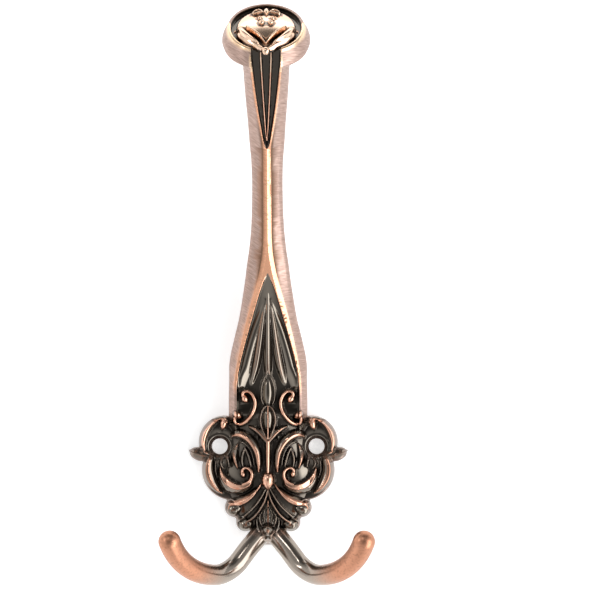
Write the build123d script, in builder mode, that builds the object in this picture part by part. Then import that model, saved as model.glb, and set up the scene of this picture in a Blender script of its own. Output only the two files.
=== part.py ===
"""Ornate cast wall hook: a long upper arm with a round knob, and two lower prongs.

The hook is one zinc casting, held on a wall by two countersunk screws. The wall is the plane
Y = 0, the front faces -Y, +Z is up, and the origin is midway between the two screw holes, on
the wall. All sizes are in millimetres. The casting is the same left and right, so the side
relief is modelled once on the +X side and mirrored. "Depth" means distance from the wall.
"""

import math
import os

from build123d import *

# Screw holes
hole_spacing = 28.0
hole_diameter = 4.5
countersink_diameter = 6.6
countersink_angle = 90.0

# Back plate: a round lobe about each hole, a wider one below it, and the shell at the foot
plate_thickness = 3.0
plate_draft = 12.0
upper_lobe_radius = 7.6
upper_lobe_x = 12.6
upper_lobe_z = 1.3
lower_lobe_radius = 9.0
lower_lobe_x = 10.3
lower_lobe_z = -6.8
shell_bump_radius = 2.7
shell_bumps = [(9.4, -17.6), (6.1, -22.3)]
horn_root = (17.6, -2.4)
horn_tip = (23.0, -1.3)
horn_half_width = 1.9

# Raised shield in the middle of the plate: (height Z, half width, edge depth, crown depth)
shield_sections = [
    (9.6, 10.4, 4.4, 5.8),
    (1.0, 9.0, 3.2, 6.0),
    (-9.0, 11.0, 2.8, 5.4),
    (-18.0, 8.6, 2.7, 4.8),
    (-25.5, 4.0, 2.6, 4.2),
]

# Upper arm: its front line is an arc that starts upright above the plate
arm_start_z = 10.2
arm_front = 7.5
arm_radius = 140.7
arm_lean = 45.0
arm_wall = 0.9
arm_wall_run = 0.3
arm_side_share = 0.55
arm_back_chamfer = 1.5
# (distance along the front line, half width, half width of the raised border, thickness)
arm_sections = [
    (-5.0, 10.9, 8.9, 7.45),
    (8.0, 11.2, 9.3, 7.4),
    (15.0, 10.6, 8.4, 7.3),
    (26.5, 8.1, 5.8, 7.1),
    (38.0, 6.1, 2.9, 6.9),
    (48.0, 4.9, 1.35, 6.8),
    (62.0, 4.1, 1.1, 6.8),
    (78.0, 4.6, 1.5, 7.0),
    (93.0, 5.7, 3.1, 7.6),
]
arm_end_section = (6.75, 4.2, 8.2)
arm_end_gap = 0.8

# Fan panel sunk into the foot of the arm, and the ridges that spread down it
fan_depth = 1.5
# (distance along the front line, half width, depth)
fan_outline = [
    (40.5, 0.3, 0.5),
    (35.0, 2.0, 1.2),
    (26.5, 4.7, fan_depth),
    (18.0, 7.1, fan_depth),
    (10.0, 8.7, fan_depth),
    (-7.0, 8.4, fan_depth),
]
# (where the ridge starts along the front line, its share of the panel's half width)
fan_ridges = [(36.0, 0.0), (31.0, 0.37), (24.0, 0.72)]
fan_ridge_end = 5.0
fan_ridge_radius = 0.95
fan_ridge_tip_radius = 0.3

# Long V recess below the knob, and its two thin ribs
recess_depth = 1.4
# (distance along the front line, half width, depth)
recess_outline = [
    (77.5, 0.25, 0.4),
    (83.9, 1.55, recess_depth),
    (93.5, 2.45, recess_depth),
    (103.4, 3.35, recess_depth),
]
recess_end_half_width = 3.8
rib_width = 0.55
rib_drop = 0.3
rib_start = 80.5
rib_start_offset = 0.28
rib_end_offset = 1.4

# Knob: a flared disc, square to the end of the arm
knob_face_radius = 10.3
knob_back_radius = 11.85
knob_thickness = 4.8
knob_back_chamfer = 0.9
knob_rim_width = 0.75
knob_channel_width = 1.55
knob_channel_depth = 1.2
knob_channel_slope = 0.3
knob_dome_edge = 0.4
knob_dome_rise = 1.0
knob_dome_flat = 0.6
knob_drop = 9.45

# Relief on the knob's face, in its own plane: X across, second value away from the arm
knob_leaf_sink = 1.1
# (root, tip, half width, height above the rim)
knob_side_leaves = [
    ((0.3, -8.9), (8.0, -1.2), 1.35, 0.9),
    ((0.3, -7.0), (5.6, -0.3), 0.8, 1.35),
    ((0.9, 4.7), (4.1, 7.4), 0.95, 0.85),
]
knob_top_leaf = ((0.0, 4.3), (0.0, 8.4), 0.95, 0.95)
knob_berries = [(1.8, 2.4), (1.25, 0.25)]
berry_radius = 0.85
berry_height = 1.35
bead_radius = 1.15
bead_rise = 1.0
bead_height = -0.9

# Lower prongs: round bars that run outwards and down, then curl forwards and up. The middle of
# each prong lies in one plane. Places on the right prong as (X, depth, height Z)
prong_radius = 3.05
prong_sides = 14
bend_steps = 3
curl_steps = 6
# Rounding of the tip: (reach past the end of the curl, radius), as shares of the radius
prong_tip_rounding = [(0.0, 1.0), (0.55, 0.84), (0.95, 0.32)]
prong_root = (1.6, 3.6, -25.6)
prong_bottom = (15.2, 12.6, -35.9)
prong_tip = (26.9, 29.6, -24.6)
# Where the straight root of the prong ends, as (X, Z)
prong_knee = (8.6, -33.0)

# Relief on the plate, +X side. Places are (X, Z). A scroll is an arc through three places
# and then smooth arcs to each further place, with a round button at the last one
band_radius = 0.9
branch_radius = 0.6
button_radius = 1.25
button_rise = 0.35
relief_sink = 0.9
relief_draft = 30.0
ribbon_width = 1.7
rim_width = 2.1
ribbon_height = 0.8
small_round_sides = 8
c_scroll = [(7.5, 14.3), (6.1, 15.7), (4.6, 14.7), (4.9, 8.3), (8.3, 6.5), (9.0, 8.7)]
c_scroll_curl = (6.9, 13.6)
hole_rim = [(19.2, 0.0), (18.6, 4.1), (15.9, 7.2), (13.2, 6.6)]
lower_rim = [(17.2, -3.7), (17.7, -7.6), (14.2, -12.9)]
cup_scroll_ground = (9.0, -9.0)
cup_scroll = [(13.8, -6.5), (12.2, -10.0), (8.4, -11.2), (4.3, -8.5), (7.0, -7.2)]
side_band = [(10.9, 3.75), (8.3, 3.9), (5.4, 2.8), (3.5, 0.4), (2.3, -2.9), (2.0, -6.3)]
branch = [(0.0, 1.4), (2.2, 2.9), (4.0, 4.7), (5.3, 5.9)]
stem_bottom_z = -7.8
cup_outer = [(15.0, -8.6), (10.8, -14.4), (4.2, -11.4)]
cup_inner = (9.6, -11.8)
cup_height = 1.3
# Flames inside the lower lobe: (root, tip, half width)
flames = [
    ((11.5, -8.0), (12.2, -3.4), 0.75),
    ((8.8, -6.6), (9.6, 0.6), 0.95),
    ((6.3, -5.6), (7.2, -0.4), 1.0),
]
flame_height = 1.1
# Ribs of the shell: (inner end, outer end, radius at each end)
shell_ribs = [
    ((2.4, -12.6), (9.4, -17.3), 0.9, 1.9),
    ((1.2, -14.2), (6.2, -21.8), 0.9, 1.8),
]
shell_rib_height = 1.5
# Upright outlined leaves: (bottom Z, top Z, half width)
upper_leaf = (11.9, 20.4, 1.95)
lower_leaf = (2.2, 11.5, 2.3)
leaf_edge_width = 0.75
leaf_pocket_depth = 0.9
leaf_rise = 1.3
teardrop_radius = 2.1
teardrop_z = -9.9
sepal_root_z = -15.6
sepal_tips = [(0.0, -23.6), (2.7, -21.9)]
sepal_half_width = 1.15
bud_radius = 2.1
bud_z = -26.0


def over(plane, place):
    """Point of a plane straight in front of place = (x, z)."""
    x, z = place
    normal = plane.z_dir
    offset = (x - plane.origin.X) * normal.X + (z - plane.origin.Z) * normal.Z
    return Vector(x, plane.origin.Y - offset / normal.Y, z)


def between(rows, position, column):
    """Value of a column at a position along rows whose first entry sets their place."""
    ordered = sorted(rows)
    position = min(max(position, ordered[0][0]), ordered[-1][0])
    value = ordered[-1][column]
    for low, high in zip(ordered, ordered[1:]):
        if low[0] <= position <= high[0]:
            share = (position - low[0]) / (high[0] - low[0])
            value = low[column] + share * (high[column] - low[column])
    return value


def surface_depth(x, z):
    """Depth of the ground that the relief stands on, at (x, z)."""
    half_width = between(shield_sections, z, 1)
    edge = between(shield_sections, z, 2)
    crown = between(shield_sections, z, 3)
    panel_foot = between(fan_outline, z - arm_start_z, 1)
    if z > shield_sections[0][0] - 1 and abs(x) < panel_foot:
        return arm_front - fan_depth
    if abs(x) >= half_width:
        return plate_thickness
    return max(crown - (crown - edge) * (x / half_width) ** 2, plate_thickness)


def surface_point(place, lift=0.0):
    """Point over the ground at place = (x, z), raised by lift."""
    x, z = place
    return Vector(x, -surface_depth(x, z) - lift, z)


def arm_point(distance):
    """Point on the arm's front line, and how far the arm leans there, in radians."""
    lean = max(distance, 0) / arm_radius
    depth = arm_front + arm_radius * (1 - math.cos(lean))
    height = arm_start_z + arm_radius * math.sin(lean) + min(distance, 0)
    return Vector(0, -depth, height), lean


def arm_plane(distance):
    """Plane square to the front line: local x is +X, local y points out of the front."""
    point, lean = arm_point(distance)
    return Plane(point, x_dir=(1, 0, 0), z_dir=(0, math.sin(lean), -math.cos(lean)))


def arm_section(distance, half_width, border, thickness):
    """Section of the arm: flat border, short wall, sloping flank, upright side, flat back."""
    with BuildSketch(arm_plane(distance)) as section:
        with BuildLine():
            Polyline(
                (0, 0),
                (border, 0),
                (border + arm_wall_run, -arm_wall),
                (half_width, -thickness * arm_side_share),
                (half_width, arm_back_chamfer - thickness),
                (half_width - arm_back_chamfer, -thickness),
                (0, -thickness),
            )
            mirror(about=Plane.YZ)
        make_face()
    return section.sketch


def sunk_section(distance, half_width, depth):
    """Section of a recess cut into the arm's front, a little wider at its mouth."""
    mouth = 2.0
    draft = math.tan(math.radians(plate_draft))
    floor_half_width = max(half_width - depth * draft, half_width / 2)
    with BuildSketch(arm_plane(distance)) as section:
        with BuildLine():
            Polyline(
                (0, mouth),
                (half_width + mouth * draft, mouth),
                (floor_half_width, -depth),
                (0, -depth),
            )
            mirror(about=Plane.YZ)
        make_face()
    return section.sketch


def leaf(plane, root, tip, half_width, height):
    """Pointed leaf with flat sloping sides, from root to tip on a plane."""
    along = Vector(*tip) - Vector(*root)
    length = along.length
    turn = math.degrees(math.atan2(along.Y, along.X))
    slope = min(relief_draft, math.degrees(math.atan(0.7 * half_width / height)))
    side = [(0.3 * length, 0.95 * half_width), (0.7 * length, 0.85 * half_width)]
    with BuildPart() as piece:
        with BuildSketch(plane):
            with Locations(Location((root[0], root[1], 0), (0, 0, turn))):
                with BuildSketch(mode=Mode.PRIVATE) as outline:
                    with BuildLine():
                        Polyline((0, 0), *side, (length, 0))
                        mirror(about=Plane.XZ)
                    make_face()
                add(outline.sketch)
        extrude(amount=height, taper=slope)
    return piece.part


def bar_section(radius):
    """Section of a raised bar: upright sides below the ground, sloping shoulders, flat top."""
    with BuildSketch(mode=Mode.PRIVATE) as section:
        with BuildLine():
            Polyline(
                (-radius, -relief_sink),
                (-radius, 0.1 * radius),
                (-0.4 * radius, radius),
                (0.4 * radius, radius),
                (radius, 0.1 * radius),
                (radius, -relief_sink),
                close=True,
            )
        make_face()
    return section.sketch


def bar(route, radius):
    """Raised bar that follows the ground through (x, z) places."""
    points = [surface_point(place) for place in route]
    with BuildPart() as piece:
        with BuildLine() as line:
            Spline(*points)
        along = line.line % 0
        across = Vector(0, -1, 0).cross(along)
        with BuildSketch(Plane(points[0], x_dir=across, z_dir=along)):
            add(bar_section(radius))
        sweep(path=line.line)
    return piece.part


def ground_plane(place):
    """Plane that touches the ground at place = (x, z), tilted across only."""
    x, z = place
    slope = (surface_depth(x + 1, z) - surface_depth(x - 1, z)) / 2
    across = Vector(1, -slope, 0)
    return Plane(surface_point(place), x_dir=across, z_dir=across.cross(Vector(0, 0, 1)))


def button(plane, place, radius, height):
    """Small round button with sloping sides, in front of place = (x, z)."""
    with BuildPart() as piece:
        with BuildSketch(Plane(over(plane, place), z_dir=plane.z_dir).offset(-relief_sink)):
            RegularPolygon(radius, small_round_sides)
        extrude(amount=relief_sink + height, taper=relief_draft / 2)
    return piece.part


def scroll(plane, route, width, height):
    """Raised ribbon: an arc through three places, then smooth arcs, and a button at the end."""
    points = [plane.to_local_coords(over(plane, place)) for place in route]
    with BuildPart() as piece:
        with BuildSketch(plane.offset(-relief_sink)):
            with BuildLine():
                last = ThreePointArc(*points[:3])
                for point in points[3:]:
                    last = TangentArc(last @ 1, point, tangent=last % 1)
            trace(line_width=width)
        extrude(amount=relief_sink + height)
        add(button(plane, route[-1], button_radius, height + button_rise))
    return piece.part


def rib(start, end, start_radius, end_radius, height):
    """Rib with blunt ends that widens from start to end, over the ground."""
    start_point = surface_point(start)
    end_point = surface_point(end)
    along = (end_point - start_point).normalized()
    outward = along.cross(Vector(0, -1, 0)).cross(along)
    base = Plane(start_point, x_dir=along, z_dir=outward).offset(-relief_sink)
    length = (end_point - start_point).length
    with BuildPart() as piece:
        with BuildSketch(base):
            RegularPolygon(start_radius, small_round_sides)
            with Locations((length, 0)):
                RegularPolygon(end_radius, small_round_sides)
            make_hull()
        extrude(amount=relief_sink + height, taper=plate_draft)
    return piece.part


def outlined_leaf(bottom_z, top_z, half_width):
    """Upright leaf with a raised edge, a sunk face and a middle vein."""
    middle = surface_depth(0, (bottom_z + top_z) / 2)
    base = Plane.XZ.offset(middle - relief_sink)
    edge = leaf_edge_width
    rise = leaf_rise + relief_sink
    with BuildPart() as piece:
        add(leaf(base, (0, bottom_z), (0, top_z), half_width, rise))
        pocket = base.offset(rise - leaf_pocket_depth)
        with BuildSketch(pocket):
            with BuildLine():
                low = (0, bottom_z + 2.2 * edge)
                high = (0, top_z - 2.2 * edge)
                centre_z = (bottom_z + top_z) / 2
                ThreePointArc(low, (half_width - 1.6 * edge, centre_z), high)
                ThreePointArc(high, (1.6 * edge - half_width, centre_z), low)
            make_face()
        extrude(amount=rise, mode=Mode.SUBTRACT)
        vein = leaf(pocket.offset(-relief_sink), low, high, edge / 2, relief_sink + 0.6)
        add(vein)
    return piece.part


arm_length = arm_radius * math.radians(arm_lean)
arm_end_point, arm_end_lean = arm_point(arm_length)
knob_axis = Vector(0, -math.sin(arm_end_lean), math.cos(arm_end_lean))
knob_inwards = Vector(0, math.cos(arm_end_lean), math.sin(arm_end_lean))
knob_centre = arm_end_point + knob_inwards * knob_drop
knob_plane = Plane(knob_centre, x_dir=(1, 0, 0), z_dir=knob_axis)
knob_profile_plane = Plane(knob_centre, x_dir=(1, 0, 0), z_dir=-knob_inwards)
knob_dome_radius = knob_face_radius - knob_rim_width - knob_channel_width

# Plate and shield
with BuildPart() as plate:
    for side in (1, -1):
        with BuildSketch(Plane.XZ):
            with Locations((side * upper_lobe_x, upper_lobe_z)):
                Circle(upper_lobe_radius)
        extrude(amount=plate_thickness)
        with BuildSketch(Plane.XZ):
            with Locations((side * lower_lobe_x, lower_lobe_z)):
                Circle(lower_lobe_radius)
        extrude(amount=plate_thickness)
        for bump_x, bump_z in shell_bumps:
            with BuildSketch(Plane.XZ):
                with Locations((side * bump_x, bump_z)):
                    Circle(shell_bump_radius)
            extrude(amount=plate_thickness)
    with BuildSketch(Plane.XZ):
        with BuildLine():
            Polyline(
                (0, arm_start_z - 1),
                (upper_lobe_x - 2, arm_start_z - 2.5),
                (upper_lobe_x, lower_lobe_z - 4),
                (shell_bumps[0][0] + 1, shell_bumps[0][1]),
                (shell_bumps[1][0] + 1, shell_bumps[1][1] - 1),
                (0, bud_z - 1),
            )
            mirror(about=Plane.YZ)
        make_face()
    extrude(amount=plate_thickness)

with BuildPart() as shield:
    for height, half_width, edge, crown in shield_sections:
        with BuildSketch(Plane.XY.offset(height)):
            with BuildLine():
                Polyline((0, 0), (half_width, 0), (half_width, -edge))
                Bezier((half_width, -edge), (half_width / 2, -crown), (0, -crown))
                mirror(about=Plane.YZ)
            make_face()
    loft()

# Upper arm with its fan panel, the knob, and the V recess that runs up into the knob
with BuildPart() as arm:
    for section_row in arm_sections:
        add(arm_section(*section_row))
    add(arm_section(arm_length - arm_end_gap, *arm_end_section))
    loft()
    for distance, half_width, depth in fan_outline:
        add(sunk_section(distance, half_width, depth))
    loft(mode=Mode.SUBTRACT)
    for ridge_start, share in fan_ridges:
        for side in (1, -1) if share else (1,):
            for step in range(4):
                distance = ridge_start + (fan_ridge_end - ridge_start) * step / 3
                grown = fan_ridge_tip_radius
                grown += (fan_ridge_radius - fan_ridge_tip_radius) * step / 3
                offset = side * share * between(fan_outline, distance, 1)
                with BuildSketch(arm_plane(distance)):
                    with BuildLine():
                        Polyline(
                            (offset - grown, -fan_depth - relief_sink / 2),
                            (offset - 0.35 * grown, -fan_depth + grown),
                            (offset + 0.35 * grown, -fan_depth + grown),
                            (offset + grown, -fan_depth - relief_sink / 2),
                            close=True,
                        )
                    make_face()
            loft()

with BuildPart() as knob:
    with BuildSketch(knob_profile_plane):
        with BuildLine():
            Polyline(
                (0, -knob_thickness),
                (knob_back_radius - knob_back_chamfer, -knob_thickness),
                (knob_back_radius, knob_back_chamfer - knob_thickness),
                (knob_face_radius, 0),
                (knob_face_radius - knob_rim_width, 0),
                (knob_dome_radius + knob_channel_slope, -knob_channel_depth),
                (knob_dome_radius, -knob_dome_edge),
                (knob_dome_radius * knob_dome_flat, knob_dome_rise - knob_dome_edge),
                (0, knob_dome_rise - knob_dome_edge),
                (0, -knob_thickness),
            )
        make_face()
    revolve(axis=Axis(knob_centre, knob_axis))
    with BuildSketch(knob_plane):
        with Locations((0, -knob_drop)):
            Rectangle(4 * knob_back_radius, knob_back_radius, align=(Align.CENTER, Align.MAX))
    extrude(amount=knob_back_radius, both=True, mode=Mode.SUBTRACT)

with BuildPart() as upper_arm:
    add(arm.part)
    add(knob.part)
    for distance, half_width, depth in recess_outline:
        add(sunk_section(distance, half_width, depth))
    add(sunk_section(arm_length + 1, recess_end_half_width, recess_depth))
    loft(mode=Mode.SUBTRACT)
    rib_end = arm_length - knob_thickness / 2
    rib_height = recess_depth - rib_drop + relief_sink
    for side in (1, -1):
        for distance, offset in ((rib_start, rib_start_offset), (rib_end, rib_end_offset)):
            with BuildSketch(arm_plane(distance)):
                with Locations((side * offset, -rib_drop - rib_height / 2)):
                    Rectangle(rib_width, rib_height)
        loft()

# Prongs
with BuildPart() as prongs:
    root, bottom, tip = [
        Vector(x, -depth, z) for x, depth, z in (prong_root, prong_bottom, prong_tip)
    ]
    prong_plane = Plane(root, z_dir=(tip - root).cross(bottom - root))
    knee = over(prong_plane, prong_knee)
    with BuildLine() as prong_line:
        Line(root, knee)
        bend = TangentArc(knee, bottom, tangent=knee - root)
        curl = TangentArc(bottom, tip, tangent=bend % 1)
    stations = [(root, knee - root, prong_radius)]
    for arc, steps in ((bend, bend_steps), (curl, curl_steps)):
        for step in range(steps):
            share = step / steps
            stations.append((arc @ share, arc % share, prong_radius))
    for reach, share in prong_tip_rounding:
        end = tip + (curl % 1) * (reach * prong_radius)
        stations.append((end, curl % 1, share * prong_radius))
    for centre, direction, radius in stations:
        with BuildSketch(Plane(centre, z_dir=direction)):
            RegularPolygon(radius, prong_sides)
    loft(ruled=True)
    mirror(about=Plane.YZ)

# Relief on one side of the plate
arm_ground = Plane.XZ.offset(arm_front - fan_depth)
plate_ground = Plane.XZ.offset(plate_thickness)
with BuildPart() as side_relief:
    add(scroll(arm_ground, c_scroll, ribbon_width, ribbon_height))
    add(button(arm_ground, c_scroll_curl, button_radius, ribbon_height + button_rise))
    add(scroll(plate_ground, hole_rim, rim_width, ribbon_height))
    add(bar(lower_rim, band_radius))
    add(bar(side_band, band_radius))
    add(bar(branch, branch_radius))
    add(scroll(ground_plane(cup_scroll_ground), cup_scroll, ribbon_width, ribbon_height))
    for root, tip, half_width in flames:
        middle = surface_depth((root[0] + tip[0]) / 2, (root[1] + tip[1]) / 2)
        flame_base = Plane.XZ.offset(middle - relief_sink)
        add(leaf(flame_base, root, tip, half_width, flame_height + relief_sink))
    for rib_row in shell_ribs:
        add(rib(*rib_row, shell_rib_height))
    with BuildSketch(plate_ground.offset(-relief_sink)):
        with BuildLine():
            ThreePointArc(*cup_outer)
            ThreePointArc(cup_outer[-1], cup_inner, cup_outer[0])
        make_face()
    extrude(amount=2 * relief_sink + cup_height)
    add(leaf(Plane.XZ, horn_root, horn_tip, horn_half_width, plate_thickness - 0.2))

with BuildPart() as middle_relief:
    add(outlined_leaf(*upper_leaf))
    add(outlined_leaf(*lower_leaf))
    stem_middle = (0.0, (branch[0][1] + stem_bottom_z) / 2)
    add(bar([branch[0], stem_middle, (0.0, stem_bottom_z)], branch_radius))
    with Locations(surface_point((0, teardrop_z), -teardrop_radius / 3)):
        Sphere(teardrop_radius)
    sepal_base = Plane.XZ.offset(surface_depth(0, sepal_tips[0][1]) - relief_sink)
    for tip_x, tip_z in sepal_tips:
        for side in (1, -1) if tip_x else (1,):
            root = (side * tip_x * 0.15, sepal_root_z)
            tip = (side * tip_x, tip_z)
            add(leaf(sepal_base, root, tip, sepal_half_width, relief_sink + leaf_rise))
    with Locations(surface_point((0, bud_z))):
        Sphere(bud_radius)

# Relief on the knob's face
with BuildPart() as knob_relief:
    leaf_base = knob_plane.offset(-knob_leaf_sink)
    for root, tip, half_width, height in knob_side_leaves:
        add(leaf(leaf_base, root, tip, half_width, knob_leaf_sink + height))
    for place in knob_berries:
        with BuildSketch(leaf_base):
            with Locations(place):
                RegularPolygon(berry_radius, small_round_sides)
        extrude(amount=knob_leaf_sink + berry_height, taper=relief_draft / 3)
    mirror(about=Plane.YZ)
    root, tip, half_width, height = knob_top_leaf
    add(leaf(leaf_base, root, tip, half_width, knob_leaf_sink + height))
    bead_root = knob_plane.from_local_coords((0, recess_depth - knob_drop, bead_height))
    with BuildSketch(Plane(bead_root, x_dir=(1, 0, 0), z_dir=-knob_inwards)):
        RegularPolygon(bead_radius, small_round_sides)
    extrude(amount=recess_depth + bead_rise, taper=relief_draft / 3)

# The whole casting: cut flush with the wall, then drilled for the screws
with BuildPart() as hook_casting:
    add(plate.part)
    add(shield.part)
    add(upper_arm.part)
    add(prongs.part)
    add(side_relief.part)
    add(mirror(side_relief.part, about=Plane.YZ, mode=Mode.PRIVATE))
    add(middle_relief.part)
    add(knob_relief.part)
    split(bisect_by=Plane.XZ, keep=Keep.TOP)
    hole_faces = [
        Plane((side * hole_spacing / 2, -plate_thickness, 0), z_dir=(0, -1, 0)) for side in (1, -1)
    ]
    with Locations(*hole_faces):
        CounterSinkHole(
            hole_diameter / 2,
            countersink_diameter / 2,
            counter_sink_angle=countersink_angle,
        )

print(hook_casting.part.is_valid, len(hook_casting.part.solids()), hook_casting.part.volume)
hook_casting.part.label = "hook_casting"
os.makedirs("parts", exist_ok=True)
export_step(hook_casting.part, "parts/hook_casting.step")
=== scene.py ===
"""Blender scene for the ornate cast wall hook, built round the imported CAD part."""

import math

import bpy
import numpy as np
import openvdb
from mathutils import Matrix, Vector


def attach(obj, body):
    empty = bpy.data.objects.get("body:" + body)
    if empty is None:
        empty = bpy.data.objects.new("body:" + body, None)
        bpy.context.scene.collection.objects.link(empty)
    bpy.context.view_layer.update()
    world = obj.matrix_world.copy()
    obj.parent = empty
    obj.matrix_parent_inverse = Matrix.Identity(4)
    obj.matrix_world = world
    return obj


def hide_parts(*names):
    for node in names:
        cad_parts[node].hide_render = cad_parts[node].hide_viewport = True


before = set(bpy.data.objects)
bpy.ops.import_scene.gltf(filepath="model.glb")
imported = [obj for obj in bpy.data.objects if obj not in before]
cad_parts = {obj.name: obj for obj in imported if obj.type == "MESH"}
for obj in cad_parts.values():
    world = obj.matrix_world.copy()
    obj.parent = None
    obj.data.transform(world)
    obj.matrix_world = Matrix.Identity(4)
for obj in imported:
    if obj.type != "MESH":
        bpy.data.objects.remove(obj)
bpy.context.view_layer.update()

# The casting's shape is worked out in millimetres as a field that is negative inside the metal:
# x across, depth out of the wall, z up. The front of the plate and arm is a height map over
# (s, u): s runs up the front line of the arm from z = ARM_START, u runs across.
ARM_START = 10.2
ARM_FRONT = 7.5
ARM_RADIUS = 140.7
ARM_LEAN = math.radians(45)
# Places along the front line: top of the fan panel, foot of the V recess, end inside the knob
FAN_END = 40.6
RECESS_START = 77.9
ARM_STOP = 110.2
# Border of the arm: its crest, and the small step at its foot
CREST_WIDTH = 1.15
CREST_SLOPE = 0.46
STEP_WIDTH = 0.3
# Plate: depths of its rim, its lobes and the pads round the screw holes, and of the foot of
# the countersinks
RIM_DEPTH = 1.5
LOBE_DEPTH = 2.5
PAD_DEPTH = 3.0
PAD_RADIUS = 4.0
HOLE_X = 14.0
HOLE_RADIUS = 2.25
SINK_START = 1.95
# Knob: how far its middle lies behind the arm's front line, its thickness, and rows of
# (height over the face, radius) up its side
KNOB_DROP = 9.45
KNOB_THICKNESS = 5.2
KNOB_SIDE = [(-5.2, 12.0), (-4.4, 12.1), (-3.0, 11.75), (-1.5, 11.0), (0, 10.35)]
# Bead at the foot of the knob's face: its distance from the middle, and how deep it sits
BEAD_PLACE = 9.9
BEAD_SINK = 0.35
BEAD_RADIUS = 1.1
# The mesh is drawn from voxels, then thinned, and turned into metres at the end
VOXEL = 0.2
MILLIMETRE = 0.001
TRIANGLE_BUDGET = 190000


def single(values):
    return values.astype(np.float32)


def smooth_max(a, b, k):
    h = np.maximum(k - np.abs(a - b), 0) / k
    return np.maximum(a, b) + h * h * k * 0.25


def smooth_min(a, b, k):
    return -smooth_max(-a, -b, k)


def ramp(value, low, high):
    t = np.clip((value - low) / (high - low), 0, 1)
    return t * t * (3 - 2 * t)


def hermite(t, start, start_slope, end, end_slope):
    return (
        start * (1 + 2 * t) * (1 - t) ** 2
        + start_slope * t * (1 - t) ** 2
        + end * t * t * (3 - 2 * t)
        + end_slope * t * t * (t - 1)
    )


def profile(rows, at):
    """Smooth curve without overshoot through rows of (place, value)."""
    rows = sorted(rows)
    x = np.array([r[0] for r in rows], float)
    y = np.array([r[1] for r in rows], float)
    step = np.diff(x)
    slope = np.diff(y) / step
    tangent = np.zeros_like(x)
    tangent[0], tangent[-1] = slope[0], slope[-1]
    for i in range(1, len(x) - 1):
        if slope[i - 1] * slope[i] > 0:
            a = 2 * step[i] + step[i - 1]
            b = step[i] + 2 * step[i - 1]
            tangent[i] = (a + b) / (a / slope[i - 1] + b / slope[i])
    at = np.clip(at, x[0], x[-1])
    i = np.clip(np.searchsorted(x, at) - 1, 0, len(x) - 2)
    t = (at - x[i]) / step[i]
    return hermite(t, y[i], tangent[i] * step[i], y[i + 1], tangent[i + 1] * step[i])


def curve(points, spacing=0.25):
    """Points close together along a smooth curve, with each column carried along."""
    rows = np.array(points, float)
    if len(rows) == 2:
        rows = np.vstack([rows[0], rows.mean(0), rows[1]])
    gap = np.linalg.norm(np.diff(rows[:, :2], axis=0), axis=1)
    place = np.concatenate([[0], np.cumsum(np.sqrt(gap))])
    total = max(6, int(gap.sum() / spacing) + 1)
    at = np.linspace(0, place[-1], total)
    before = np.vstack([2 * rows[0] - rows[1], rows, 2 * rows[-1] - rows[-2]])
    knots = np.concatenate([[place[0] - (place[1] - place[0])], place, [2 * place[-1] - place[-2]]])
    i = np.clip(np.searchsorted(place, at, side="right") - 1, 0, len(place) - 2) + 1
    t = ((at - knots[i]) / (knots[i + 1] - knots[i]))[:, None]
    span = (knots[i + 1] - knots[i])[:, None]
    low = (before[i + 1] - before[i - 1]) / (knots[i + 1] - knots[i - 1])[:, None] * span
    high = (before[i + 2] - before[i]) / (knots[i + 2] - knots[i])[:, None] * span
    out = hermite(t, before[i], low, before[i + 1], high)
    out[:, 2:] = np.maximum(out[:, 2:], 0.02)
    return out


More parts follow.
